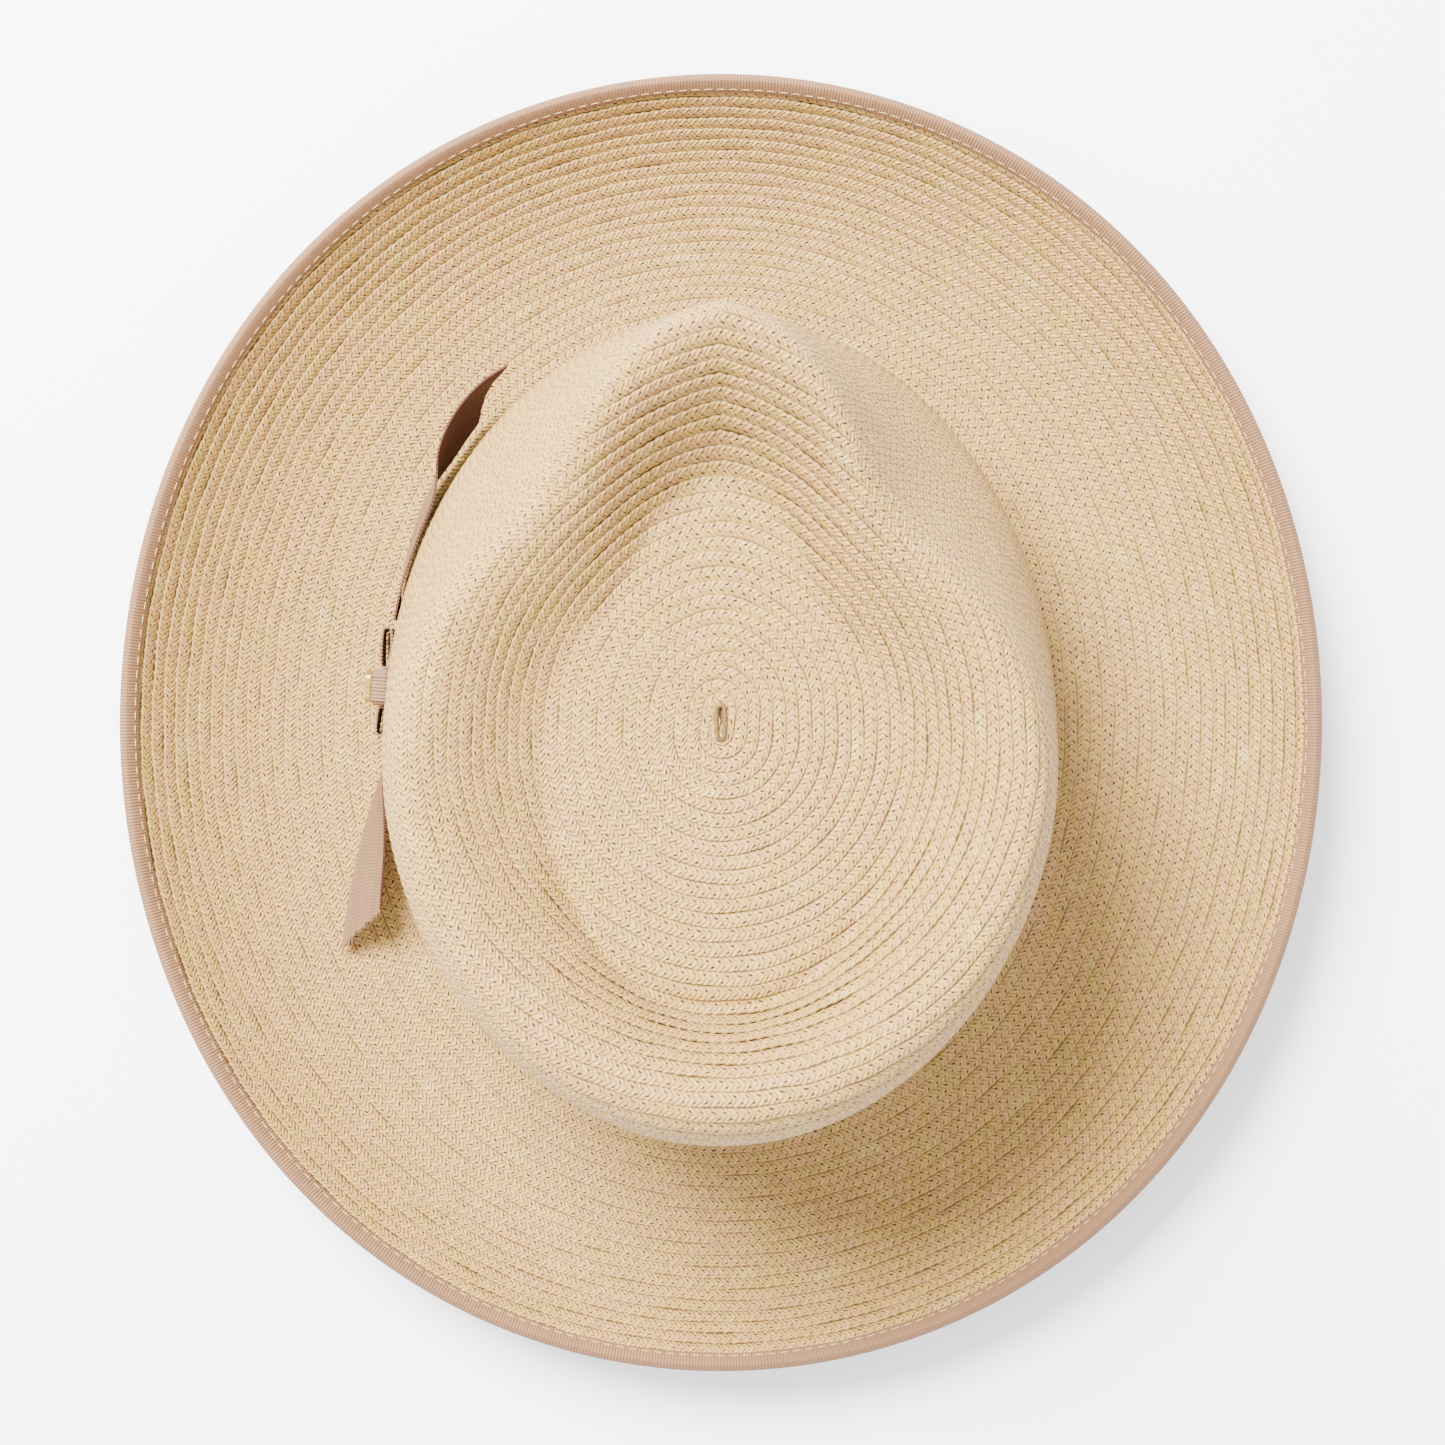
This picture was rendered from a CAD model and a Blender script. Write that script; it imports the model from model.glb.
import math

import bpy
import numpy as np
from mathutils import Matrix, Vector


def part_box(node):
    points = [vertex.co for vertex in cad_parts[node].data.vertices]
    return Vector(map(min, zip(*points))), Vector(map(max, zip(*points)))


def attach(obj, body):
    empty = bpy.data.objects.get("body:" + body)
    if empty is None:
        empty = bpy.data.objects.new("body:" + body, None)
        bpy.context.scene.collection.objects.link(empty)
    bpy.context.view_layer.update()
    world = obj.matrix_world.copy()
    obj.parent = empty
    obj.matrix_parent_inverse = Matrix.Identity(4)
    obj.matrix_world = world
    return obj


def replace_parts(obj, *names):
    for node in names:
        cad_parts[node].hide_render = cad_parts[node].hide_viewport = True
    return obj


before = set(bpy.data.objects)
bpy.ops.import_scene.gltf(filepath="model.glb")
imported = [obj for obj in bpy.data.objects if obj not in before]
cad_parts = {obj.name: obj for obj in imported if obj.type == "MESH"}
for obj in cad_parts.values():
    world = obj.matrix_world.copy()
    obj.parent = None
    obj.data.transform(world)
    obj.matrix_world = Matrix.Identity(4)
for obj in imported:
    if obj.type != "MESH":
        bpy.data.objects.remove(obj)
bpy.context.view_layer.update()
mm = 0.001


def linear(code):
    # sRGB hex to linear light
    parts = [int(code[place:place + 2], 16) / 255 for place in (1, 3, 5)]
    return [((part + 0.055) / 1.055) ** 2.4 if part > 0.04045 else part / 12.92 for part in parts] + [1]


def add(tree, kind, settings=None, inputs=None):
    # one node with its settings; an input is a value, a node or one of a node's outputs
    node = tree.nodes.new("ShaderNode" + kind)
    for name, value in (settings or {}).items():
        setattr(node, name, value)
    for name, value in (inputs or {}).items():
        socket = node.inputs[name]
        if isinstance(value, bpy.types.Node):
            tree.links.new(value.outputs[0], socket)
        elif isinstance(value, bpy.types.NodeSocket):
            tree.links.new(value, socket)
        else:
            socket.default_value = value
    return node


def calc(tree, operation, *values):
    # one arithmetic node
    return add(tree, "Math", {"operation": operation}, dict(enumerate(values)))


def newMaterial(name):
    material = bpy.data.materials.new(name)
    material.use_nodes = True
    tree = material.node_tree
    tree.nodes.clear()
    shader = add(tree, "BsdfPrincipled")
    add(tree, "OutputMaterial", None, {"Surface": shader})
    return material, tree, shader


def surface(name, points, quads, cornerUv, material, body="hat", caps=(), sharpAngle=None, flat=False):
    # a mesh from vertex places in millimetres, quads with a UV pair a corner, and end caps
    mesh = bpy.data.meshes.new(name)
    points = np.asarray(points, np.float32).reshape(-1, 3) * mm
    loops = np.concatenate([quads.ravel()] + [np.asarray(cap) for cap in caps]).astype(np.int32)
    sizes = np.array([4] * len(quads) + [len(cap) for cap in caps])
    mesh.vertices.add(len(points))
    mesh.vertices.foreach_set("co", points.ravel())
    mesh.loops.add(len(loops))
    mesh.loops.foreach_set("vertex_index", loops)
    mesh.polygons.add(len(sizes))
    mesh.polygons.foreach_set("loop_start", np.append(0, np.cumsum(sizes)[:-1]).astype(np.int32))
    mesh.polygons.foreach_set("use_smooth", np.full(len(sizes), not flat))
    mesh.update(calc_edges=True)
    layer = mesh.uv_layers.new(name="cloth")
    uv = np.zeros((len(loops), 2), np.float32)
    uv[:quads.size] = np.asarray(cornerUv, np.float32).reshape(-1, 2)
    layer.data.foreach_set("uv", uv.ravel())
    if sharpAngle:
        mesh.set_sharp_from_angle(angle=math.radians(sharpAngle))
    mesh.materials.append(material)
    piece = bpy.data.objects.new(name, mesh)
    bpy.context.scene.collection.objects.link(piece)
    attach(piece, body)
    return piece


def gridQuads(rows, columns, closeRows=False, closeColumns=False, flip=False):
    # quads of a grid of vertices, joined end to end where it is closed
    first, second = np.meshgrid(np.arange(rows if closeRows else rows - 1),
                                np.arange(columns if closeColumns else columns - 1), indexing="ij")
    nextRow, nextColumn = (first + 1) % rows, (second + 1) % columns
    quads = np.stack([first * columns + second, nextRow * columns + second,
                      nextRow * columns + nextColumn, first * columns + nextColumn], -1).reshape(-1, 4)
    return quads[:, ::-1] if flip else quads


def copies(rows, columns, count, flip=False):
    # quads and end caps of one closed tube of rows by columns vertices, repeated
    size = rows * columns
    shifts = np.arange(count) * size
    quads = (gridQuads(rows, columns, False, True, flip)[None] + shifts[:, None, None]).reshape(-1, 4)
    first, last = np.arange(columns), size - columns + np.arange(columns)
    ends = (first[::-1], last) if flip else (first, last[::-1])
    return quads, [end + shift for shift in shifts for end in ends]


def solid(name, grid, material, closeRows=False, body="hat", sharpAngle=35):
    # a closed skin: rows go along the piece and columns round its section. The UV is the
    # distance along and the distance round, both in millimetres.
    rows, columns = grid.shape[:2]
    flat = grid.reshape(-1, 3)
    quads = gridQuads(rows, columns, closeRows, True)
    caps = [] if closeRows else [np.arange(columns), (rows - 1) * columns + np.arange(columns)[::-1]]
    # the faces look outward where the volume under them adds up to more than nothing
    fans = [np.stack([0 * cap[2:] + cap[0], cap[1:-1], cap[2:]], -1) for cap in caps]
    corners = flat[np.concatenate([quads[:, :3], quads[:, [0, 2, 3]]] + fans)] - flat.mean(0)
    volume = (corners[:, 0] * np.cross(corners[:, 1], corners[:, 2])).sum()
    middle = grid.mean(1)
    ahead = np.linalg.norm(np.roll(middle, -1, 0) - middle, axis=-1)
    along = np.append(0, np.cumsum(ahead))
    ring = grid[rows // 2]
    across = np.append(0, np.cumsum(np.linalg.norm(np.roll(ring, -1, 0) - ring, axis=-1)))
    row, column = np.meshgrid(np.arange(rows if closeRows else rows - 1), np.arange(columns), indexing="ij")
    uv = np.stack([
        np.stack([along[row], across[column]], -1), np.stack([along[row + 1], across[column]], -1),
        np.stack([along[row + 1], across[column + 1]], -1), np.stack([along[row], across[column + 1]], -1),
    ], -2).reshape(-1, 4, 2)
    if volume < 0:
        quads, uv, caps = quads[:, ::-1], uv[:, ::-1], [cap[::-1] for cap in caps]
    piece = surface(name, grid, quads, uv, material, body, caps, sharpAngle)
    return piece


def fullTurn(count):
    return np.linspace(0, 2 * math.pi, count, endpoint=False)


def unit(vectors):
    return vectors / np.maximum(np.linalg.norm(vectors, axis=-1, keepdims=True), 1e-9)


def softStep(share):
    share = np.clip(share, 0, 1)
    return share * share * (3 - 2 * share)


# The hat's own sizes in millimetres, in the frame's axes: front -Y, wearer's left +X.
headBox = [np.array(corner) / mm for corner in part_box("crown")]
hat = {
    "halfWidth": headBox[1][0] - 1.95,
    "halfLength": headBox[1][1] - 1.95,
    "straw": 2.0,
    "wallLean": 0.067,
    "crownFoot": 2.05,
    "crownFront": 112.0,
    "crownSide": 101.0,
    "crownBack": 105.0,
    "dentFloor": 87.0,
    "ridgeInset": (3.0, 7.0, 11.0),
    "dentEdge": (0.62, 0.58, 0.78),
    "pinchRight": 25.0,
    "pinchLeft": 19.0,
    "pinchDrop": 5.0,
    "pinchAngle": 46.0,
    "pinchSpread": 32.0,
    "flatWidth": 11.0,
    "hatWidth": 306.0,
    "hatLength": 331.0,
    "cornerFullness": 0.006,
    "rimRiseSide": 27.0,
    "rimRiseEnd": 25.5,
}
# Wall stations: share of the ridge's height, of the ridge's inset and of the pinch.
wallStations = [
    (0.0, 0.0, 0.0), (0.02, 0.0, 0.0), (0.12, 0.0, 0.0), (0.27, 0.0, 0.0), (0.43, 0.0, 0.0),
    (0.58, 0.0, 0.27), (0.72, 0.03, 0.55), (0.84, 0.10, 0.76), (0.94, 0.30, 0.90),
    (0.99, 0.62, 0.97), (1.0, 1.0, 1.0),
]
dentStations = np.linspace(0.97, 0.001, 40)


def aroundHat(turn, front, side, back):
    # exact at the front, the sides and the back, with squared cosines between
    ahead, behind = np.maximum(0, np.cos(turn)) ** 2, np.maximum(0, -np.cos(turn)) ** 2
    return side + (front - side) * ahead + (back - side) * behind


def pinchShare(turn):
    # a bell curve about each front pinch
    away = (np.degrees(np.abs(np.arctan2(np.sin(turn), np.cos(turn)))) - hat["pinchAngle"]) / hat["pinchSpread"]
    return np.exp(-away * away)


def ovalNormal(turn):
    return unit(np.stack([np.sin(turn) / hat["halfWidth"], -np.cos(turn) / hat["halfLength"], 0 * turn], -1))


def ovalPoint(turn, outset, height):
    # the head oval moved out along its own normal
    flat = np.stack([hat["halfWidth"] * np.sin(turn), -hat["halfLength"] * np.cos(turn), 0 * turn], -1)
    lift = np.stack([0 * turn, 0 * turn, height + 0 * turn], -1)
    return flat + ovalNormal(turn) * np.asarray(outset)[..., None] + lift


def splineAlong(poles, samples):
    # uniform cubic B-spline through the second axis, stretched to reach both end poles
    first = 2 * poles[:, :1] - poles[:, 1:2]
    last = 2 * poles[:, -1:] - poles[:, -2:-1]
    poles = np.concatenate([first, poles, last], 1)
    spot = np.linspace(0, poles.shape[1] - 3 - 1e-6, samples)
    start = spot.astype(int)
    share = (spot - start)[None, :, None]
    weights = [(1 - share) ** 3, 3 * share ** 3 - 6 * share ** 2 + 4,
               -3 * share ** 3 + 3 * share ** 2 + 3 * share + 1, share ** 3]
    return sum(weight * poles[:, start + step] for step, weight in enumerate(weights)) / 6


def evenly(curves, samples):
    # each curve resampled at equal steps of its own length
    steps = np.linalg.norm(np.diff(curves, axis=1), axis=-1)
    lengths = np.concatenate([np.zeros((len(curves), 1)), np.cumsum(steps, 1)], 1)
    shares = lengths / lengths[:, -1:]
    offset = 2.0 * np.arange(len(curves))[:, None]
    wanted = (np.linspace(0, 1, samples)[None] + offset).ravel()
    known = (shares + offset).ravel()
    axes = [np.interp(wanted, known, curves[..., axis].ravel()) for axis in range(3)]
    return np.stack(axes, -1).reshape(len(curves), samples, 3), lengths[:, -1]


def crownPoles(turn):
    # from the middle of the dent over the ridge and down the wall to the foot
    turn = turn[:, None]
    ridge = aroundHat(turn, hat["crownFront"], hat["crownSide"], hat["crownBack"])
    ridge = ridge - hat["pinchDrop"] * pinchShare(turn)
    heightShare, insetShare, pinchPart = np.array(wallStations).T[:, None, :]
    height = hat["crownFoot"] + (ridge - hat["crownFoot"]) * heightShare
    leftShare = (1 + np.sin(turn)) / 2
    depth = hat["pinchRight"] + (hat["pinchLeft"] - hat["pinchRight"]) * leftShare
    inward = hat["wallLean"] * (height - hat["crownFoot"])
    inward = inward + aroundHat(turn, *hat["ridgeInset"]) * insetShare + depth * pinchShare(turn) * pinchPart
    across = (hat["halfWidth"] + hat["straw"] - inward) * np.sin(turn)
    along = -(hat["halfLength"] + hat["straw"] - inward) * np.cos(turn)
    wall = np.stack([across, along, height], -1)
    share = np.array(dentStations)[None]
    edge = aroundHat(turn, *hat["dentEdge"])
    slope = np.clip((share - edge) / (1 - edge), 0, 1)
    crisp = aroundHat(turn, 0.35, 0.35, 1.0)  # how sharply the floor turns up into the slope
    rise = softStep(slope) * (1 - crisp) + slope * (2 - slope) * crisp
    rise = rise - 0.17 * np.maximum(crisp - 0.35, 0) * np.exp(-((share - edge) / 0.03) ** 2)
    dent = np.stack([wall[:, -1:, 0] * share, wall[:, -1:, 1] * share,
                     hat["dentFloor"] + (wall[:, -1:, 2] - hat["dentFloor"]) * rise], -1)
    return np.concatenate([wall, dent], 1)[:, ::-1]


def brimMeridians(turn, startAlong, endGap, samples):
    # a flat ring round the head, then an arc that is tangent to it and rises to the rim
    fullness = 1 + hat["cornerFullness"] * (1 - np.cos(4 * turn)) / 2
    start = ovalPoint(turn, 0 * turn, 0)
    rim = np.stack([hat["hatWidth"] / 2 * np.sin(turn) * fullness,
                    -hat["hatLength"] / 2 * np.cos(turn) * fullness, 0 * turn], -1)
    run = np.linalg.norm(rim - start, axis=-1)
    line = unit(rim - start)
    rise = aroundHat(turn, hat["rimRiseEnd"], hat["rimRiseSide"], hat["rimRiseEnd"])
    bend = 2 * np.arctan(rise / (run - hat["flatWidth"]))
    radius = (run - hat["flatWidth"]) / np.sin(bend)
    reach = hat["flatWidth"] + radius * bend - endGap
    along = startAlong + (reach - startAlong)[:, None] * np.linspace(0, 1, samples)[None]
    tilt = np.maximum(0, along - hat["flatWidth"]) / radius[:, None]
    flat = np.minimum(along, hat["flatWidth"]) + radius[:, None] * np.sin(tilt)
    places = start[:, None] + line[:, None] * flat[..., None]
    places[..., 2] = radius[:, None] * (1 - np.cos(tilt))
    upward = np.concatenate([-line[:, None, :2] * np.sin(tilt)[..., None], np.cos(tilt)[..., None]], -1)
    return places, upward


def makeTable(places):
    # places on a grid of turn by row share, with outward normals from central differences
    aroundStep = np.roll(places, -1, 0) - np.roll(places, 1, 0)
    alongStep = np.gradient(places, axis=1)
    normals = unit(np.cross(alongStep, aroundStep))
    return places, normals


def lookUp(table, turn, share):
    # bilinear reading of a table, closed round the hat
    count, samples = table.shape[:2]
    across = (turn / (2 * math.pi) * count) % count
    along = np.clip(share, 0, 1) * (samples - 1)
    row, column = np.floor(across).astype(int) % count, np.minimum(along.astype(int), samples - 2)
    rowPart, columnPart = (across - np.floor(across))[..., None], (along - column)[..., None]
    nextRow = (row + 1) % count
    low = table[row, column] * (1 - columnPart) + table[row, column + 1] * columnPart
    high = table[nextRow, column] * (1 - columnPart) + table[nextRow, column + 1] * columnPart
    return low * (1 - rowPart) + high * rowPart


turns = fullTurn(720)
crownCurves, crownLengths = evenly(splineAlong(crownPoles(turns), 900), 700)
crownTable = makeTable(crownCurves)
brimLow, brimUp = brimMeridians(turns, hat["straw"], 2.6, 240)
brimTable = makeTable(brimLow + brimUp * hat["straw"])
underLow, underUp = brimMeridians(turns, 0.05, 2.6, 240)
underTable = makeTable(underLow + underUp * 0.45)
startWay = crownCurves[:, 60] - crownCurves[:, 0]
startAngle = np.unwrap(np.arctan2(startWay[:, 0], -startWay[:, 1]))
insideTable = (crownTable[0] - crownTable[1] * 1.5, crownTable[1])
print("shapes ready", crownLengths.min(), crownLengths.max())

# The braid: one plaited strip sewn in a spiral from the dent's middle to the rim, each row's
# outer edge lying on the next row. Sizes in millimetres, counts in rows.
braid = {
    "crownRows": 58,
    "brimRows": 22,
    "crownPitch": 2.95,
    "startAcross": 0.9,
    "startAlong": 2.8,
    "plait": 2.6,
    "overlap": 0.36,
    "bulge": 0.2,
    "strand": 0.09,
    "scallop": 0.035,
    "slant": 0.5,
    "frontPoint": 3.2,
    "wander": 0.04,
}
topColumns = np.array([-0.22, 0.0, 0.11, 0.25, 0.41, 0.57, 0.73, 0.87, 0.965, 1.0])
topDrops = np.array([-0.45, 0, 0, 0, 0, 0, 0, 0, 0, -0.55])
backColumns = np.array([-0.2, 0.04, 0.35, 0.68, 0.96, 1.0])
backDrops = np.array([-0.4, 0, 0, 0, 0, -0.5])


def crownShare(row, turn, lengths):
    # length from the middle: the start loop, then an even pitch, and what the front and the
    # back have more of growing towards the foot with the 1.5th power of the row's share
    rows = braid["crownRows"]
    total = np.interp(turn % (2 * math.pi), np.append(turns, 2 * math.pi), np.append(lengths, lengths[0]))
    # rows near the middle keep one distance from the start loop's straight core
    angle = np.interp(turn % (2 * math.pi), np.append(turns, 2 * math.pi), np.append(startAngle, 2 * math.pi))
    core = braid["startAlong"] * softStep(1.5 - 1.5 * row / rows)
    cosine, sine = np.abs(np.cos(angle)), np.maximum(np.abs(np.sin(angle)), 1e-6)
    extra = total - braid["startAcross"] - braid["crownPitch"] * rows
    distance = braid["startAcross"] + braid["crownPitch"] * row + extra * np.maximum(row / rows, 0) ** 1.5
    distance = np.maximum(distance, 0.02)
    straight = distance / sine
    # the front terraces come to a point on the hat's middle line
    terrace = softStep((row - 15) / 8) * (1 - softStep((row - 32) / 16))
    pointed = braid["frontPoint"] * np.exp(-np.abs(np.arctan2(np.sin(angle), np.cos(angle))) / 0.2) * terrace
    roundEnd = core * cosine + np.sqrt(np.maximum(distance ** 2 - (core * sine) ** 2, 0))
    reach = np.where(straight * cosine <= core, straight, roundEnd)
    return (reach + pointed) / total


def brimShare(row, turn, lengths):
    return row / braid["brimRows"]


def braidRows(name, tables, shareOf, pressed, lengths, rowRange, material, back=False):
    # the strip between two rows, in pieces under the size that a mesh may have
    places, normals = tables
    columns, drops = (backColumns, backDrops) if back else (topColumns, topDrops)
    step = braid["plait"] / (2 if back else 4)
    fine = np.linspace(rowRange[0], rowRange[1], 24000)
    fineTurn = 2 * math.pi * fine
    walk = lookUp(places, fineTurn, shareOf(fine + 0.5, fineTurn, lengths))
    travelled = np.append(0, np.cumsum(np.linalg.norm(np.diff(walk, axis=0), axis=1)))
    along = np.arange(0, travelled[-1], step)
    rowPlace = np.interp(along, travelled, fine)
    parts = math.ceil(len(along) * (len(columns) - 1) / 97000)
    ends = np.linspace(0, len(along) - 1, parts + 1).astype(int)
    made = []
    for number in range(parts):
        part = slice(ends[number], ends[number + 1] + 1)
        start, phase = rowPlace[part][:, None], along[part][:, None] / braid["plait"]
        phase = phase - math.floor(phase[0, 0])
        across = np.clip(columns, 0, 1)[None] + 0 * start
        row = start + columns[None] + braid["scallop"] * np.cos(2 * math.pi * phase) * (columns[None] > 0.9)
        # the hand that sews it wanders: two slow waves along the braid
        path = along[part][:, None]
        row = row + braid["wander"] * (np.sin(path / 5.3) + 0.7 * np.sin(path / 2.17 + 1.3))
        turn = 2 * math.pi * start + 0 * row
        share = shareOf(row, turn, lengths)
        spots, outward = lookUp(places, turn, share), unit(lookUp(normals, turn, share))
        # strands: a cosine along the row, slanted away from its middle line on both sides
        slanted = phase + 0.5 * (across > 0.5) + braid["slant"] * np.abs(2 * across - 1)
        # on slopes the rows telescope, so their steps are higher there
        slope = np.clip(np.abs(outward[..., 2]), 0, 1)
        rowStep = braid["overlap"] * (0.7 + 5.0 * slope * (1 - slope))
        height = rowStep * (across - 0.5) + braid["bulge"] * np.sin(math.pi * across)
        height = height * (1 + 0.14 * np.sin(path / 8.1 + 0.6) + 0.08 * np.sin(path / 3.3))
        height = height - braid["strand"] * np.cos(2 * math.pi * slanted) + drops[None]
        # the ribbon band and the edge binding press the rows flat
        press = pressed(spots, share)
        height = height * (1 - 0.8 * press) - (0 if back else 0.3) * press
        spots = spots + outward * (height * (-1 if back else 1))[..., None]
        uv = np.stack([phase + 0 * across, across], -1)
        quads = gridQuads(len(start), len(columns), flip=not back)
        piece = surface(f"{name}{number + 1}", spots, quads, uv.reshape(-1, 2)[quads], material)
        made.append(piece)
    print(name, parts, "pieces,", len(along) * (len(columns) - 1), "quads")
    return made


def strawMaterial():
    # Natural straw braid: dull cream strands with a faint shine and warm, uneven dye.
    look = {"base": "#a9843f", "pink": "#ad824a", "yellow": "#a7863e", "pale": "#b19250", "gap": "#33230d",
            "roughness": 0.58, "relief": 0.00026, "strands": 2.0}
    material, tree, shader = newMaterial("natural_straw_braid")
    place = add(tree, "SeparateXYZ", None, {"Vector": add(tree, "UVMap", {"uv_map": "cloth"})})
    along, across = place.outputs["X"], place.outputs["Y"]
    half = calc(tree, "GREATER_THAN", across, 0.5)
    centred = calc(tree, "MULTIPLY_ADD", across, 2.0, -1.0)
    vee = calc(tree, "ABSOLUTE", centred)
    shifted = calc(tree, "MULTIPLY_ADD", half, 0.5, along)
    wobble = add(tree, "TexNoise", {"noise_dimensions": "2D"},
                 {"Vector": add(tree, "CombineXYZ", None, {"X": along, "Y": across}), "Scale": 1.3, "Detail": 2.0})
    leaning = calc(tree, "MULTIPLY_ADD", vee, braid["slant"], shifted)
    slanted = calc(tree, "MULTIPLY_ADD", wobble, 0.45, leaning)
    strands = calc(tree, "MULTIPLY", slanted, look["strands"])
    cell = calc(tree, "FLOOR", strands)
    part = calc(tree, "FRACT", strands)
    # each strand has its own tone; longer patches of dye run along the row
    cellPlace = add(tree, "CombineXYZ", None, {"X": cell, "Y": half})
    tone = add(tree, "TexWhiteNoise", {"noise_dimensions": "2D"}, {"Vector": cellPlace})
    patch = add(tree, "TexNoise", {"noise_dimensions": "1D"}, {"W": along, "Scale": 0.16, "Detail": 1.0})
    hue = add(tree, "ValToRGB", None, {"Fac": patch})
    stops = [(0.25, "yellow"), (0.42, "base"), (0.55, "pink"), (0.66, "base"), (0.85, "pale")]
    while len(hue.color_ramp.elements) < len(stops):
        hue.color_ramp.elements.new(0.5)
    for element, (spot, key) in zip(hue.color_ramp.elements, stops):
        element.position, element.color = spot, linear(look[key])
    brightness = add(tree, "MapRange", None, {"Value": tone, "To Min": 0.86, "To Max": 1.07})
    toned = add(tree, "HueSaturation", None, {"Color": hue, "Value": brightness})
    # strand rounding: a sine over each strand; gaps: small dark ovals where strands cross
    strandRound = calc(tree, "SINE", calc(tree, "MULTIPLY", part, math.pi))
    period = calc(tree, "FRACT", slanted)
    fromMiddle = calc(tree, "MULTIPLY_ADD", period, 9.0, -4.5)
    fromLine = calc(tree, "MULTIPLY_ADD", vee, 8.0, -3.4)
    offset = add(tree, "CombineXYZ", None, {"X": fromMiddle, "Y": fromLine})
    away = add(tree, "VectorMath", {"operation": "LENGTH"}, {0: offset})
    hole = add(tree, "MapRange", {"interpolation_type": "SMOOTHSTEP"},
               {"Value": away.outputs["Value"], "From Min": 0.75, "From Max": 1.6, "To Min": 1.0, "To Max": 0.0})
    seam = add(tree, "MapRange", {"interpolation_type": "SMOOTHSTEP"},
               {"Value": vee, "From Min": 0.86, "From Max": 1.0, "To Min": 0.0, "To Max": 0.55})
    crease = add(tree, "MapRange", None, {"Value": strandRound, "From Min": 0.0, "From Max": 0.5,
                                          "To Min": 0.26, "To Max": 0.0})
    periodCell = calc(tree, "FLOOR", slanted)
    chance = add(tree, "TexWhiteNoise", {"noise_dimensions": "2D"},
                 {"Vector": add(tree, "CombineXYZ", None, {"X": periodCell, "Y": half})})
    openness = add(tree, "MapRange", None, {"Value": chance, "To Min": 0.35, "To Max": 1.25})
    holeDark = add(tree, "Math", {"operation": "MULTIPLY", "use_clamp": True}, {0: hole, 1: openness})
    dark = calc(tree, "MAXIMUM", holeDark, seam)
    darker = calc(tree, "MAXIMUM", dark, crease)
    colour = add(tree, "MixRGB", None, {"Fac": darker, "Color1": toned, "Color2": linear(look["gap"])})
    fibre = add(tree, "TexNoise", {"noise_dimensions": "2D"},
                {"Vector": add(tree, "CombineXYZ", None, {"X": strands, "Y": across}), "Scale": 9.0, "Detail": 3.0})
    raised = calc(tree, "MULTIPLY_ADD", fibre, 0.3, strandRound)
    sunk = calc(tree, "SUBTRACT", raised, hole)
    bump = add(tree, "Bump", None, {"Height": sunk, "Distance": look["relief"], "Strength": 1.0})
    dress(tree, shader, colour, bump, look["roughness"])
    shader.inputs["IOR"].default_value = 1.5
    return material


def dress(tree, shader, colour, bump, roughness):
    tree.links.new(colour.outputs[0], shader.inputs["Base Color"])
    tree.links.new(bump.outputs[0], shader.inputs["Normal"])
    shader.inputs["Roughness"].default_value = roughness


def clothMaterial(name, look):
    # Ribbon: ribs are a sine along the cloth's length; a two-sided ribbon has its reverse
    # colour past the turning point of the section's distance.
    material, tree, shader = newMaterial(name)
    place = add(tree, "SeparateXYZ", None, {"Vector": add(tree, "UVMap", {"uv_map": "cloth"})})
    along = calc(tree, "MULTIPLY", place.outputs["X"], 2 * math.pi / look["rib"])
    wave = calc(tree, "SINE", along)
    weft = calc(tree, "SINE", calc(tree, "MULTIPLY", place.outputs["Y"], 2 * math.pi / 0.34))
    height = calc(tree, "MULTIPLY_ADD", weft, 0.25, wave)
    bump = add(tree, "Bump", None, {"Height": height, "Distance": look["relief"], "Strength": 1.0})
    mottle = add(tree, "TexNoise", None, {"Vector": add(tree, "TexCoord").outputs["Object"], "Scale": 160.0})
    shade = add(tree, "MapRange", None, {"Value": mottle, "To Min": 0.9, "To Max": 1.1})
    ribShade = add(tree, "MapRange", None, {"Value": wave, "From Min": -1.0, "From Max": 0.2,
                                            "To Min": look["ribDark"], "To Max": 1.0})
    value = calc(tree, "MULTIPLY", shade, ribShade)
    side = linear(look["face"])
    if "reverse" in look:
        past = calc(tree, "GREATER_THAN", place.outputs["Y"], look["turn"])
        side = add(tree, "MixRGB", None, {"Fac": past, "Color1": side, "Color2": linear(look["reverse"])})
    colour = add(tree, "HueSaturation", None, {"Color": side, "Value": value})
    dress(tree, shader, colour, bump, look["roughness"])
    return material


def plainMaterial(name, colour, roughness, metallic=0.0, ior=1.5, transmission=0.0):
    material, tree, shader = newMaterial(name)
    for key, value in (("Base Color", linear(colour)), ("Roughness", roughness), ("Metallic", metallic),
                       ("IOR", ior), ("Transmission Weight", transmission)):
        shader.inputs[key].default_value = value
    return material


def leatherMaterial():
    # Vegetable-tanned sweatband leather: pebbled by a fine cell pattern, with a satin face.
    look = {"light": "#c79a6c", "dark": "#a87a4e", "grain": 900.0, "roughness": 0.45}
    material, tree, shader = newMaterial("tanned_sweatband_leather")
    where = add(tree, "TexCoord").outputs["Object"]
    cloud = add(tree, "TexNoise", None, {"Vector": where, "Scale": 45.0, "Detail": 5.0})
    colour = add(tree, "MixRGB", None,
                 {"Fac": cloud, "Color1": linear(look["dark"]), "Color2": linear(look["light"])})
    pebble = add(tree, "TexVoronoi", {"feature": "DISTANCE_TO_EDGE"}, {"Vector": where, "Scale": look["grain"]})
    bump = add(tree, "Bump", None, {"Height": pebble, "Distance": 0.00008, "Strength": 0.5})
    dress(tree, shader, colour, bump, look["roughness"])
    return material


straw = strawMaterial()
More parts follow.
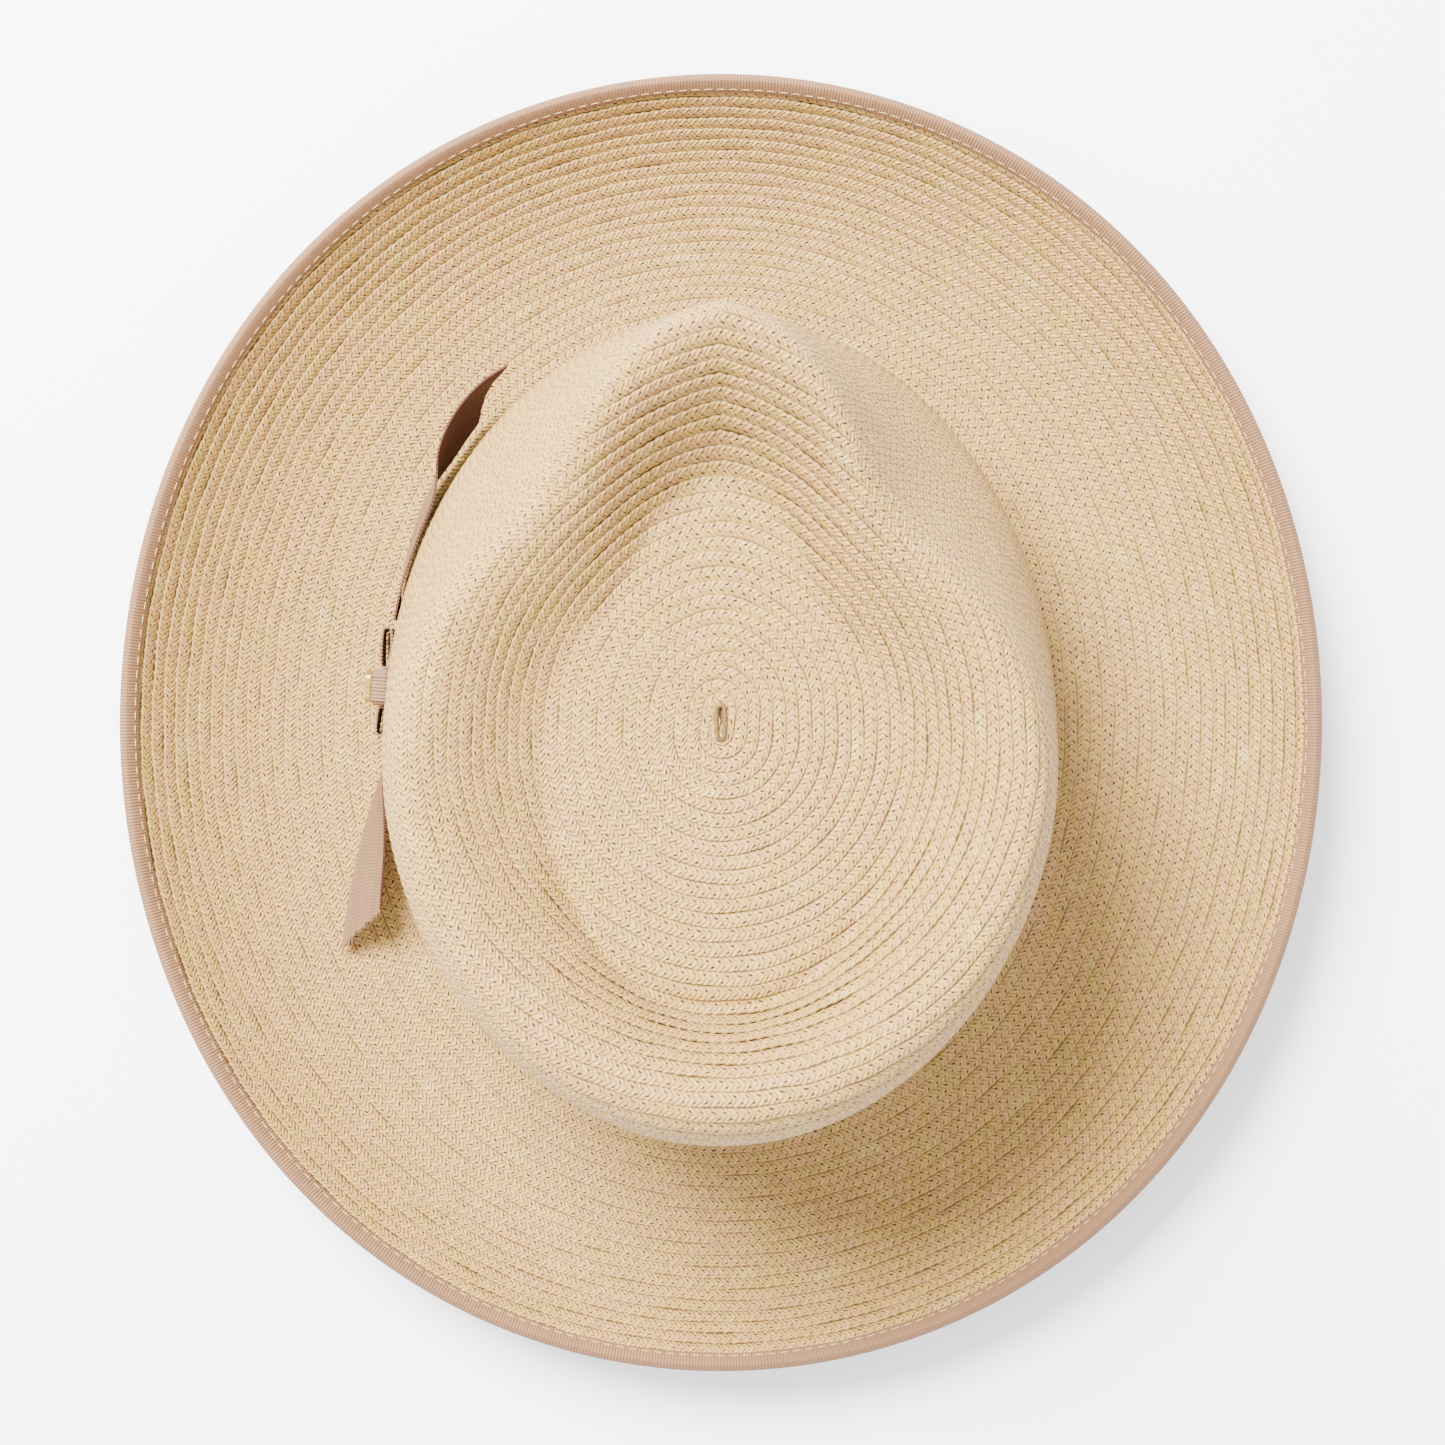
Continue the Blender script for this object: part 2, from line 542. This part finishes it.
# Grosgrain: a ribbed, fairly matt ribbon; the binding's ribs are finer.
bandCloth = clothMaterial("rose_tan_grosgrain", {"face": "#7f5e44", "rib": 0.9, "relief": 0.00012, "ribDark": 0.8,
                                                 "roughness": 0.7})
bindingCloth = clothMaterial("edge_binding_grosgrain", {"face": "#7a5534", "rib": 0.8, "relief": 0.00009,
                                                        "ribDark": 0.85, "roughness": 0.72})
tailCloth = clothMaterial("two_tone_ribbon", {"face": "#7b5a3d", "reverse": "#4a2008", "turn": 15.6, "rib": 0.9,
                                              "relief": 0.00012, "ribDark": 0.78, "roughness": 0.66})
labelCloth = clothMaterial("woven_label_cloth", {"face": "#d8cbb0", "rib": 0.35, "relief": 0.00003, "ribDark": 0.95,
                                                 "roughness": 0.6})
thread = plainMaterial("cotton_sewing_thread", "#b39468", 0.8)  # matt, slightly darker than the straw
brass = plainMaterial("polished_brass", "#d8b45c", 0.22, 1.0)  # bright yellow metal reflections
steel = plainMaterial("spring_steel_wire", "#8d8f92", 0.3, 1.0)
stone = plainMaterial("cut_glass_stone", "#fbf4ea", 0.02, 0.0, 1.6, 0.85)  # clear, with sharp glints
reedPlastic = plainMaterial("clear_reed_plastic", "#a8946c", 0.3, 0.0, 1.46, 0.2)
leather = leatherMaterial()
print("materials ready")


def crownPressed(spots, share):
    return 1 - softStep((spots[..., 2] - 17.0) / 4.0)


def brimPressed(spots, share):
    return softStep((share - 0.966) / 0.012) + 1 - softStep(share / 0.03)


crownSkins = braidRows("crownBraid", crownTable, crownShare, crownPressed, crownLengths, (-0.95, 58), straw)
crownSkins += braidRows("crownInside", insideTable, crownShare, crownPressed, crownLengths, (0, 57), straw,
                        back=True)
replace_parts(crownSkins[0], "crown")
brimSkins = braidRows("brimBraid", brimTable, brimShare, brimPressed, None, (-1, 22), straw)
brimSkins += braidRows("brimUnder", underTable, brimShare, brimPressed, None, (-1, 22), straw, back=True)
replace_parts(brimSkins[0], "brim")

# A row's plain inner edge at the head opening.
edgeSection = np.array([[0.1, 0.25], [0.6, 0.1], [2.2, 0.3], [2.4, 1.2], [2.2, 1.85], [0.6, 1.95], [0.1, 1.7]])
edgeRing = np.stack([ovalPoint(turns, 0 * turns + out, 0 * turns + high) for out, high in edgeSection], 1)
solid("brimInnerEdge", edgeRing, straw, closeRows=True)


def brimPlaces(turn, backFromFold, above):
    # places near the rim: distance back from the fold along the underside, height above it
    meridians, ups = brimMeridians(turn, 0.0, 0.0, 400)
    length = np.linalg.norm(np.diff(meridians, axis=1), axis=-1).sum(1)
    spot = np.clip(1 - backFromFold / length, 0, 1) * 399
    low = np.minimum(spot.astype(int), 398)
    part = (spot - low)[:, None]
    rows = np.arange(len(turn))
    place = meridians[rows, low] * (1 - part) + meridians[rows, low + 1] * part
    lift = unit(ups[rows, low] * (1 - part) + ups[rows, low + 1] * part)
    return place + lift * (above + 0 * turn)[:, None]


# Edge binding: a folded ribbon over the rim, held by one row of machine stitches.
binding = {"reach": 4.1, "pucker": 0.05, "wander": 0.12, "stitchIn": 1.0, "stitches": 290}
around = fullTurn(1500)
profile = []
edge = binding["reach"]
for back, above in ((edge, 2.05), (edge, 2.4), (3.8, 2.55), (2.9, 2.56), (1.9, 2.55), (0.9, 2.52), (0.35, 2.3),
                    (0.06, 1.8), (0.0, 1.0), (0.06, 0.2), (0.35, -0.3), (0.9, -0.52), (1.9, -0.55), (2.9, -0.56),
                    (3.8, -0.55), (edge, -0.4), (edge, -0.05), (2.0, 0.0), (1.0, 0.3), (0.9, 1.0), (1.0, 1.7),
                    (2.0, 2.0)):
    wobble = binding["pucker"] * np.sin(around * binding["stitches"]) * (above > 2.3)
    wobble = wobble + binding["wander"] * np.sin(around * 37) * (back > 3.7)
    profile.append(brimPlaces(around, back + wobble, above + wobble * (back < 3.7)))
bindingPiece = solid("edgeBinding", np.stack(profile, 1), bindingCloth, closeRows=True)
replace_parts(bindingPiece, "brim_binding")


def threads(name, centres, run, across, length, width, material=thread, body="hat"):
    # short sewn threads: each a small rounded bar that dips at its ends
    ends = np.linspace(-1, 1, 5)
    circle = fullTurn(6)
    fat = np.sqrt(np.maximum(0.12, 1 - ends ** 4))
    out = unit(np.cross(run, across))
    spine = centres[:, None] + run[:, None] * (ends * length / 2)[None, :, None]
    spine = spine - out[:, None] * ((ends ** 4) * width * 0.35)[None, :, None]
    ring = across[:, None, None] * (np.cos(circle) * width / 2)[None, None, :, None]
    ring = ring + out[:, None, None] * (np.sin(circle) * width * 0.4)[None, None, :, None]
    points = spine[:, :, None] + ring * fat[None, :, None, None]
    quads, caps = copies(5, 6, len(centres), flip=True)
    piece = surface(name, points, quads, np.zeros((quads.size, 2)), material, body, caps)
    return piece


def rowOnWall(turn, height, outset):
    # places, run, upward and outward directions on the leaning crown wall
    outward = ovalNormal(turn)
    run = np.stack([-outward[:, 1], outward[:, 0], 0 * turn], -1)
    place = ovalPoint(turn, outset - hat["wallLean"] * (height - hat["crownFoot"]), height)
    upward = unit(np.array([[0, 0, 1.0]]) - outward * hat["wallLean"])
    return place, run, upward, outward


stitchTurns = fullTurn(binding["stitches"])
stitchBack = binding["reach"] - binding["stitchIn"]
for name, above, sign in (("bindingStitchesTop", 2.58, 1), ("bindingStitchesUnder", -0.58, -1)):
    spot = brimPlaces(stitchTurns, stitchBack, above)
    ahead = brimPlaces(stitchTurns + 0.004, stitchBack, above)
    inward = brimPlaces(stitchTurns, binding["reach"], above)
    threads(name, spot, unit(ahead - spot), unit(spot - inward) * sign, 2.3, 0.3)
print("brim edge ready")

# The ribbon band: one flat ring of grosgrain on the foot of the crown.
band = {"foot": 2.65, "width": 16.0, "inner": 2.02, "cloth": 0.68, "wave": 0.1}
bandTurn = fullTurn(900)
rings = []
face = band["cloth"]
for out, share in ((0, 0.0), (0.0, 1.0), (0.15, 1.01), (0.55, 1.01), (face, 1.0), (face, 0.75), (face, 0.5),
                   (face, 0.25), (face, 0.0), (0.55, -0.01), (0.15, -0.01)):
    ripple = band["wave"] * np.sin(bandTurn * 9) * (out > 0.5) * 0.4
    place = rowOnWall(bandTurn, band["foot"] + band["width"] * share, band["inner"] + out + ripple)[0]
    rings.append(place)
bandPiece = solid("hatBand", np.stack(rings, 1), bandCloth, closeRows=True)
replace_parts(bandPiece, "hatband")

# Bow sizes: distances in millimetres along the wall, in front of or behind the knot.
bow = {"forward": 9.0, "knotLength": 9.4, "knotDepth": 5.2, "knotHalf": 8.2, "pleat": 0.22, "ribbon": 15.0,
       "cloth": 0.6, "foot": 3.15, "frontLoop": 11.0, "rearLoop": 8.0, "loopDepth": 3.2, "outset": 3.5,
       "pinch": 0.24, "layFront": -16.7, "layRear": 13.7, "layOutset": 2.75}
bowMiddle = bow["ribbon"] / 2


def turnBeside(along):
    return np.arccos(-along / (hat["halfLength"] + hat["straw"]))


bowTurn = np.array([turnBeside(-bow["forward"])])
bowFrame = rowOnWall(bowTurn, bow["foot"], bow["outset"])
bowPlace, bowRun, bowUp, bowOut = [vector[0] for vector in bowFrame]


def beside(along, outward, height):
    # a place from the knot's middle: along the wall, outward from it and up it
    along, outward, height = np.broadcast_arrays(along, outward, height)
    return bowPlace + along[..., None] * bowRun + outward[..., None] * bowOut + height[..., None] * bowUp


# The underlay lies on the band; its ends are cut square and hemmed by tacks.
layRows = np.linspace(bow["layFront"] - bow["forward"] + 0.05, bow["layRear"] - bow["forward"] - 0.05, 60)
layTurn = turnBeside(layRows)
layers = []
for out, high in ((0.0, 0.0), (0.0, 15.0), (0.3, 15.1), (0.6, 15.0), (0.6, 10.0), (0.6, 5.0), (0.6, 0.0),
                  (0.3, -0.1)):
    layers.append(rowOnWall(layTurn, bow["foot"] + high, bow["layOutset"] + out)[0])
underlay = solid("bowUnderlay", np.stack(layers, 1), bandCloth)
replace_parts(underlay, "bow_underlay")


def bowLoop(name, reach, direction, node):
    # a ribbon loop: its path is a flat slot, pinched in height where the knot grips it
    radius = bow["loopDepth"] / 2 - bow["cloth"] / 2
    start = bow["knotLength"] / 2 + 0.05
    turnPart = fullTurn(96)
    straight = reach / 2 - bow["loopDepth"] / 2
    pathAlong = straight * np.clip(np.cos(turnPart) * 1.5, -1, 1) + radius * np.cos(turnPart)
    pathOut = radius * np.sin(turnPart) + bow["loopDepth"] / 2
    dirAlong, dirOut = np.cos(turnPart), np.sin(turnPart)
    far = (pathAlong + reach / 2) / reach
    tall = bow["ribbon"] * (1 - bow["pinch"] * (1 - softStep(far * 1.3)))
    puff = 0.5 * softStep((far - 0.35) * 1.6)
    columns = []
    half = bow["cloth"] / 2
    for side, high in ((-1, -0.5), (-1, -0.25), (-1, 0), (-1, 0.25), (-1, 0.5), (0, 0.51),
                       (1, 0.5), (1, 0.25), (1, 0), (1, -0.25), (1, -0.5), (0, -0.51)):
        bulge = puff * (0.6 - high) * (pathOut > bow["loopDepth"] / 2) * 0.9
        along = start + reach / 2 + pathAlong + dirAlong * half * side
        out = pathOut + dirOut * half * side + bulge
        fold = 0.12 * np.sin(high * 14) * (1 - softStep(far * 1.6))
        columns.append(beside(direction * along, out + fold, bowMiddle + tall * high))
    piece = solid(name, np.stack(columns, 1), bandCloth, closeRows=True)
    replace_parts(piece, node)


bowLoop("bowLoopFront", bow["frontLoop"], -1, "bow_loop_front")
bowLoop("bowLoopRear", bow["rearLoop"], 1, "bow_loop_rear")

# The knot: one turn of ribbon round the bow's middle, with soft lengthwise pleats.
pathTurn = fullTurn(72)
middle, tall = bow["knotDepth"] / 2, bow["knotHalf"]
ringOut = np.sign(np.cos(pathTurn)) * np.abs(np.cos(pathTurn)) ** 0.45 * middle + middle
ringHigh = np.sign(np.sin(pathTurn)) * np.abs(np.sin(pathTurn)) ** 0.35 * tall
front = softStep((ringOut - 1.0) / 3.5)
columns = []
for spot in np.linspace(-1, 1, 29):
    wave = math.cos(spot * 9.5)
    shrink = 1 - 0.16 * abs(spot) ** 8
    along = spot * bow["knotLength"] / 2 * (1 - 0.05 * front * (1 - (ringHigh / tall) ** 2))
    out = middle + (ringOut - middle) * shrink + (bow["pleat"] * wave - 0.25) * front
    columns.append(beside(along, out, bowMiddle + ringHigh * (shrink + 0.006 * wave)))
knotPiece = solid("bowKnot", np.stack(columns, 0), bandCloth, sharpAngle=50)
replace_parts(knotPiece, "bow_knot")

# Two loose ribbon ends, cut on the slant and a little frayed. Stations: share of the reach,
# gap from the straw, height over the band's middle and outward lean in degrees.
halfTail = 0.24  # half the ribbon's thickness
tails = {
    "front_tail": {"root": -26.3, "reach": -69.0, "cut": 15.0, "upperLonger": True,
                   "stations": [(0, 1.7, 0, 0), (0.1, 2.9, 0, -8), (0.3, 3.9, 0.3, -14), (0.5, 5.4, 0.5, -12),
                                (0.62, 7.4, 0.8, 7), (0.76, 8.8, 1.0, 15), (0.9, 9.0, 1.0, 15), (1, 8.4, 1.2, 10)]},
    "rear_tail": {"root": 5.3, "reach": 47.0, "cut": 9.0, "upperLonger": False,
                  "stations": [(0, 1.7, 0, 0), (0.2, 4.2, 0, -12), (0.57, 10.4, 0.3, -34), (1, 21.5, 1, -50)]},
}


def throughStations(share, known, values):
    # cubic Hermite curve with the slopes of the neighbouring stations
    known, values = np.array(known, float), np.array(values, float)
    slopes = np.gradient(values, known)
    spot = np.clip(np.searchsorted(known, share, side="right") - 1, 0, len(known) - 2)
    width = known[spot + 1] - known[spot]
    part = (share - known[spot]) / width
    return ((1 + 2 * part) * (1 - part) ** 2 * values[spot] + part * (1 - part) ** 2 * slopes[spot] * width
            + part ** 2 * (3 - 2 * part) * values[spot + 1] - part ** 2 * (1 - part) * slopes[spot + 1] * width)


def ribbonTail(name, tail):
    # the strip's middle line, then rows across it that run further along one edge
    shares = np.linspace(0, 1.0, 400)
    fine = np.linspace(0, 1, 2000)
    turn = turnBeside(tail["root"]) + 0 * fine
    outer = [hat["halfWidth"] + hat["straw"], hat["halfLength"] + hat["straw"]]
    for number in range(1, len(fine)):
        before = turn[number - 1]
        speed = math.hypot(outer[0] * math.cos(before), outer[1] * math.sin(before))
        turn[number] = before + tail["reach"] / (len(fine) - 1) / speed
    known, gap, lift, lean = np.array(tail["stations"], float).T
    turnAt = np.interp(shares, fine, turn)
    gapAt = throughStations(shares, known, gap)
    heightAt = band["foot"] + band["width"] / 2 + throughStations(shares, known, lift)
    leanAt = np.radians(throughStations(shares, known, lean))
    middle = ovalPoint(turnAt, hat["straw"] + gapAt, heightAt)
    ahead = unit(np.gradient(middle, axis=0) * np.array([1, 1, 0]))
    side = np.stack([ahead[:, 1], -ahead[:, 0], 0 * shares], -1)
    side = side * np.sign((side * ovalNormal(turnAt)).sum(-1, keepdims=True))
    rise = side * np.sin(leanAt)[:, None] + np.array([0, 0, 1.0]) * np.cos(leanAt)[:, None]
    face = side * np.cos(leanAt)[:, None] - np.array([0, 0, 1.0]) * np.sin(leanAt)[:, None]
    length = abs(tail["reach"])
    across = np.linspace(-0.5, 0.5, 13)
    order = [(value, 1) for value in across] + [(value, -1) for value in across[::-1]]
    rows = 120
    grid = np.zeros((rows, len(order), 3))
    share = np.linspace(0, 1, rows)
    for column, (value, sign) in enumerate(order):
        shorter = tail["cut"] * ((0.5 - value) if tail["upperLonger"] else (0.5 + value))
        notch = 0.35 * math.sin(value * 31) + 0.2 * math.sin(value * 83)
        reach = share * (1 - (shorter - notch) / length) if shorter > 0.4 else share * (1 - shorter / length)
        curl = 0.35 * np.cos(value * 2 * math.pi) * share + 0.25 * np.sin(share * 9) * value
        for axis in range(3):
            centre = np.interp(reach, shares, middle[:, axis])
            up = np.interp(reach, shares, rise[:, axis])
            out = np.interp(reach, shares, face[:, axis])
            grid[:, column, axis] = centre + up * value * bow["ribbon"] + out * (sign * halfTail + curl)
    strip = solid(name + "Ribbon", grid, tailCloth, body=name)
    rng = np.random.default_rng(7)
    count = 44
    spots = rng.uniform(0, len(across) - 1, count)
    column = spots.astype(int)
    tip = grid[-1, column] * (1 - (spots - column))[:, None] + grid[-1, column + 1] * (spots - column)[:, None]
    away = unit(grid[-1, column] - grid[-4, column])
    widthways = unit(grid[-1, 12] - grid[-1, 0])[None] + 0 * away
    run = unit(away + widthways * rng.uniform(-0.5, 0.5, (count, 1))
               + face[-1] * rng.uniform(-0.3, 0.3, (count, 1)))
    size = 1.5
    thick = unit(np.cross(run, widthways))
    fray = threads(name + "Fray", tip + run * size * 0.35, run, unit(np.cross(thick, run)), size, 0.13,
                   tailCloth, name)
    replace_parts(strip, name)


for name, tail in tails.items():
    ribbonTail(name, tail)
print("bow ready")

# Jewel: a brass plate with three glass stones, each in four claws, and a beaded edge.
jewel = {"out": 5.25, "plate": 1.2, "seat": 0.55, "pitch": 2.7, "clawCircle": 1.02, "ball": 0.24}
facetRings = [(0.02, -0.35), (1.0, 0.28), (1.1, 0.42), (1.1, 0.55), (0.86, 0.85), (0.56, 1.02)]
stoneRings = []
for middle in (-jewel["pitch"], 0, jewel["pitch"]):
    for ring, (radius, high) in enumerate(facetRings):
        spin = np.arange(8) * math.pi / 4 + (math.pi / 8 if ring % 2 else 0)
        stoneRings.append(beside(middle + radius * np.cos(spin), jewel["out"] + jewel["seat"] + high,
                                 bowMiddle + radius * np.sin(spin)))
quads, caps = copies(6, 8, 3, flip=True)
stones = surface("glassStones", np.stack(stoneRings), quads, np.zeros((quads.size, 2)), stone, caps=caps, flat=True)
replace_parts(stones, "jewel_stones")


def ballGrid(centres, radius):
    # small closed balls, eight by six faces each
    polar = np.linspace(0.15, math.pi - 0.15, 6)
    spin = fullTurn(8)
    shape = np.stack([np.sin(polar)[:, None] * np.cos(spin), np.sin(polar)[:, None] * np.sin(spin),
                      np.cos(polar)[:, None] + 0 * spin], -1)
    points = centres[:, None, None] + shape[None] * radius
    return points, *copies(6, 8, len(centres))


clawTurn = np.arange(4) * math.pi / 2 + math.pi / 4
clawSpots = [beside(middle + jewel["clawCircle"] * np.cos(clawTurn), jewel["out"] + jewel["plate"] + 0.12,
                    bowMiddle + jewel["clawCircle"] * np.sin(clawTurn))
             for middle in (-jewel["pitch"], 0, jewel["pitch"])]
beadTurn = fullTurn(34)
beadAlong = 1.8 * np.clip(np.cos(beadTurn) * 1.8, -1, 1) + 2.3 * np.cos(beadTurn)
clawSpots.append(beside(beadAlong, jewel["out"] + jewel["plate"] + 0.02, bowMiddle + 2.28 * np.sin(beadTurn)))
points, quads, caps = ballGrid(np.concatenate(clawSpots), jewel["ball"])
claws = surface("settingClawsAndBeads", points, quads, np.zeros((quads.size, 2)), brass, caps=caps)

# The start of the braid: its folded end makes a small loop in the middle of the dent.
startLoop = {"radius": 1.75, "core": 2.9}
startRings = [(0.02, -0.75), (0.14, -0.5), (0.3, 0.55), (0.55, 0.95), (0.8, 0.7), (0.95, 0.0), (1.1, -0.9)]
spin = fullTurn(72)
rings = []
for share, high in startRings:
    across = startLoop["radius"] * share * np.sin(spin)
    along = -startLoop["core"] * np.clip(np.cos(spin) * 1.4, -1, 1) - startLoop["radius"] * share * np.cos(spin)
    wave = 0.08 * np.cos(spin * 14) * (0.1 < share < 1)
    rings.append(np.stack([across, along, hat["dentFloor"] + high + wave], -1))
startGrid = np.stack(rings, 0)
lowRing = startGrid[-1] * np.array([0.9, 0.9, 1]) - np.array([0, 0, 0.6])
startPiece = solid("braidStart", np.concatenate([startGrid, lowRing[None]]), straw, sharpAngle=80)
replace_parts(startPiece, "braid_start")

# Inside: the sweatband leans with the wall; a row of stitches holds its rolled foot.
sweat = {"foot": 2.2, "height": 29.9, "out": -0.16}
sweatTurn = fullTurn(720)
rings = []
for out, share in ((0.0, 0.0), (0.0, 0.5), (0.0, 0.985), (-0.3, 1.0), (-0.7, 1.0), (-1.0, 0.985), (-1.0, 0.7),
                   (-1.0, 0.4), (-1.0, 0.13), (-0.93, 0.1), (-1.0, 0.07), (-1.0, 0.0)):
    rings.append(rowOnWall(sweatTurn, sweat["foot"] + sweat["height"] * share, sweat["out"] + out)[0])
sweatPiece = solid("sweatBand", np.stack(rings, 1), leather, closeRows=True)
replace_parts(sweatPiece, "sweatband")

seamTurn = fullTurn(210)
seamTurn = seamTurn[np.abs(seamTurn - math.pi) > 0.13]
place, run, upward, outward = rowOnWall(seamTurn, 3.3, sweat["out"] - 1.06)
seam = threads("headSeamStitches", place, run, upward, 2.0, 0.36)
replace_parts(seam, "head_seam_stitches")
topTurn = fullTurn(260)
topTurn = topTurn[np.abs(topTurn - math.pi) > 0.13]
place, run, upward, outward = rowOnWall(topTurn, 30.6, sweat["out"] - 1.04)
threads("sweatBandEdgeStitches", place, run, upward, 1.6, 0.26)


def wallPatch(name, turn, foot, wide, high, outset, cloth, material, node):
    # a cloth patch on the inside of the sweatband
    reach = wide / 2 / math.hypot(hat["halfWidth"] * math.cos(turn), hat["halfLength"] * math.sin(turn))
    rows = turn + np.linspace(-reach, reach, 24)
    rings = [rowOnWall(rows, foot + high * share, outset + out)[0]
             for out, share in ((0, 0), (0, 1), (-cloth * 0.5, 1.006), (-cloth, 1), (-cloth, 0.66), (-cloth, 0.33),
                                (-cloth, 0), (-cloth * 0.5, -0.006))]
    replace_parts(solid(name, np.stack(rings, 1), material), node)


wallPatch("sweatBandTape", math.pi, 3.2, 14.0, 24.0, -1.35, 0.5, bandCloth, "sweatband_tape")
wallPatch("makerLabel", 0.0, 8.2, 40.0, 18.0, -1.35, 0.5, labelCloth, "maker_label")
# The size tag is flat and hangs free below its stitched upper edge.
tag = {"wide": 20.0, "foot": 18.15, "outset": -1.8}
tagFrame = rowOnWall(np.array([-math.pi / 2]), tag["foot"], tag["outset"])
tagPlace, tagRun, tagUp, tagOut = [vector[0] for vector in tagFrame]
rings = [tagPlace + np.linspace(-0.5, 0.5, 24)[:, None] * tag["wide"] * tagRun + tagUp * high - tagOut * back
         for back, high in ((0, 0), (0, 6.5), (0, 12.9), (0.15, 13.0), (0.3, 12.9), (0.3, 6.5), (0.3, 0),
                            (0.15, -0.1))]
tagPiece = solid("sizeTag", np.stack(rings, 1), labelCloth, body="size_tag")
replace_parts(tagPiece, "size_tag")

# The small flat bow on the tape: two loops and a knot, each a cushion of ribbon.
bowBack = rowOnWall(np.array([math.pi]), 9.3, -2.2)
backPlace, backRun, backUp, backOut = [vector[0] for vector in bowBack]
polar = np.linspace(0, 1, 15)
spin = fullTurn(16)
parts = []
for name, start, reach, tall, deep in (("seamBowLeft", 0.3, 5.6, 2.1, 0.65), ("seamBowRight", -0.3, -5.6, 2.1, 0.65),
                                       ("seamBowKnot", -1.05, 2.1, 1.5, 0.85)):
    swell = np.sqrt(np.maximum(0.03, 1 - (2 * polar - 1) ** 4)) * (1 if "Knot" in name else 0.55 + 0.45 * polar)
    along = start + reach * polar
    grid = (backPlace + along[:, None, None] * backRun
            + (swell[:, None] * tall * np.sin(spin))[..., None] * backUp
            - (deep + swell[:, None] * deep * np.cos(spin))[..., None] * backOut)
    parts.append(solid(name, grid, bandCloth))
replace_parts(parts[0], "sweatband_bow")

# Tacks and label stitches.
labelFoot = np.array([8.9, 25.5])
reach = 19.0 / hat["halfWidth"]
lineTurn = np.linspace(-reach, reach, 15)
edgeTurn = np.concatenate([lineTurn, lineTurn])
edgeHigh = np.repeat(labelFoot, 15)
place, run, upward, outward = rowOnWall(edgeTurn, edgeHigh, -1.35 - 0.5 - 0.05)
labelRow = threads("labelStitches", place, run, upward, 1.7, 0.25)
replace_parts(labelRow, "label_stitches")
tackTurn = turnBeside(np.array([-25.3, -25.3, -25.3, 4.3, 4.3, 4.3]))
place, run, upward, outward = rowOnWall(tackTurn, np.array([4.5, 10.6, 16.8] * 2), 3.4)
bowTacks = threads("bowTacks", place, upward, run, 1.6, 0.3)
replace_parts(bowTacks, "bow_stitches")
bandTurns = np.radians([0, 45, 135, 180, 225, 270, 315.0])
place, run, upward, outward = rowOnWall(bandTurns, band["foot"] + band["width"] + 0.1, 2.3)
bandTacks = threads("bandTacks", place, run, upward, 2.4, 0.36)
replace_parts(bandTacks, "band_stitches")
stitchSpots = tagPlace + np.linspace(-8.8, 8.8, 8)[:, None] * tagRun + tagUp * 12.2 - tagOut * 0.36
threads("sizeTagStitches", stitchSpots, tagRun + 0 * stitchSpots, tagUp + 0 * stitchSpots, 1.6, 0.22, body="size_tag")

for node, material in (("jewel_setting", brass), ("brim_wire", steel), ("wire_joiner", steel),
                       ("sweatband_reed", reedPlastic)):
    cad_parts[node].data.materials.clear()
    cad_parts[node].data.materials.append(material)
print("inside ready")

# Plain pale table, soft studio light and a camera straight above, a little in front of the hat.
studio = {"floor": "#fbfbfd", "reach": 3.0, "world": 2.3, "key": 175.0, "fill": 12.0, "camera": 0.620, "lens": 58.1}
floorMesh = bpy.data.meshes.new("table")
corners = [(x * studio["reach"], y * studio["reach"], 0) for x, y in ((-1, -1), (1, -1), (1, 1), (-1, 1))]
floorMesh.from_pydata(corners, [], [(0, 1, 2, 3)])
floorMesh.materials.append(plainMaterial("white_table", studio["floor"], 0.6))
table = bpy.data.objects.new("table", floorMesh)
table.location.z = -0.0008
bpy.context.scene.collection.objects.link(table)


def areaLight(name, azimuth, elevation, distance, size, power):
    # a soft box that looks at the hat; azimuth 0 stands in front of it, 90 on its left
    turned, raised = math.radians(azimuth), math.radians(elevation)
    light = bpy.data.lights.new(name, "AREA")
    light.shape, light.size, light.energy = "DISK", size, power
    lamp = bpy.data.objects.new(name, light)
    offset = Vector((math.sin(turned) * math.cos(raised), -math.cos(turned) * math.cos(raised), math.sin(raised)))
    lamp.location = offset * distance + Vector((0, 0, 0.05))
    lamp.rotation_euler = (-offset).to_track_quat("-Z", "Y").to_euler()
    bpy.context.scene.collection.objects.link(lamp)


areaLight("keyLight", 38, 50, 1.5, 0.8, studio["key"])
areaLight("fillLight", 200, 55, 1.6, 1.4, studio["fill"])
world = bpy.data.worlds.new("studio")
world.use_nodes = True
backdrop = world.node_tree.nodes["Background"]
backdrop.inputs["Color"].default_value = linear("#f4f5f8")
backdrop.inputs["Strength"].default_value = studio["world"]
bpy.context.scene.world = world

lens = bpy.data.cameras.new("camera")
lens.lens, lens.sensor_width = studio["lens"], 36.0
lens.clip_start = 0.01
camera = bpy.data.objects.new("camera", lens)
camera.location = (-0.0004, 0, studio["camera"])
camera.rotation_euler = (0, 0, math.pi)
bpy.context.scene.collection.objects.link(camera)
bpy.context.scene.camera = camera
print("camera and lights ready")
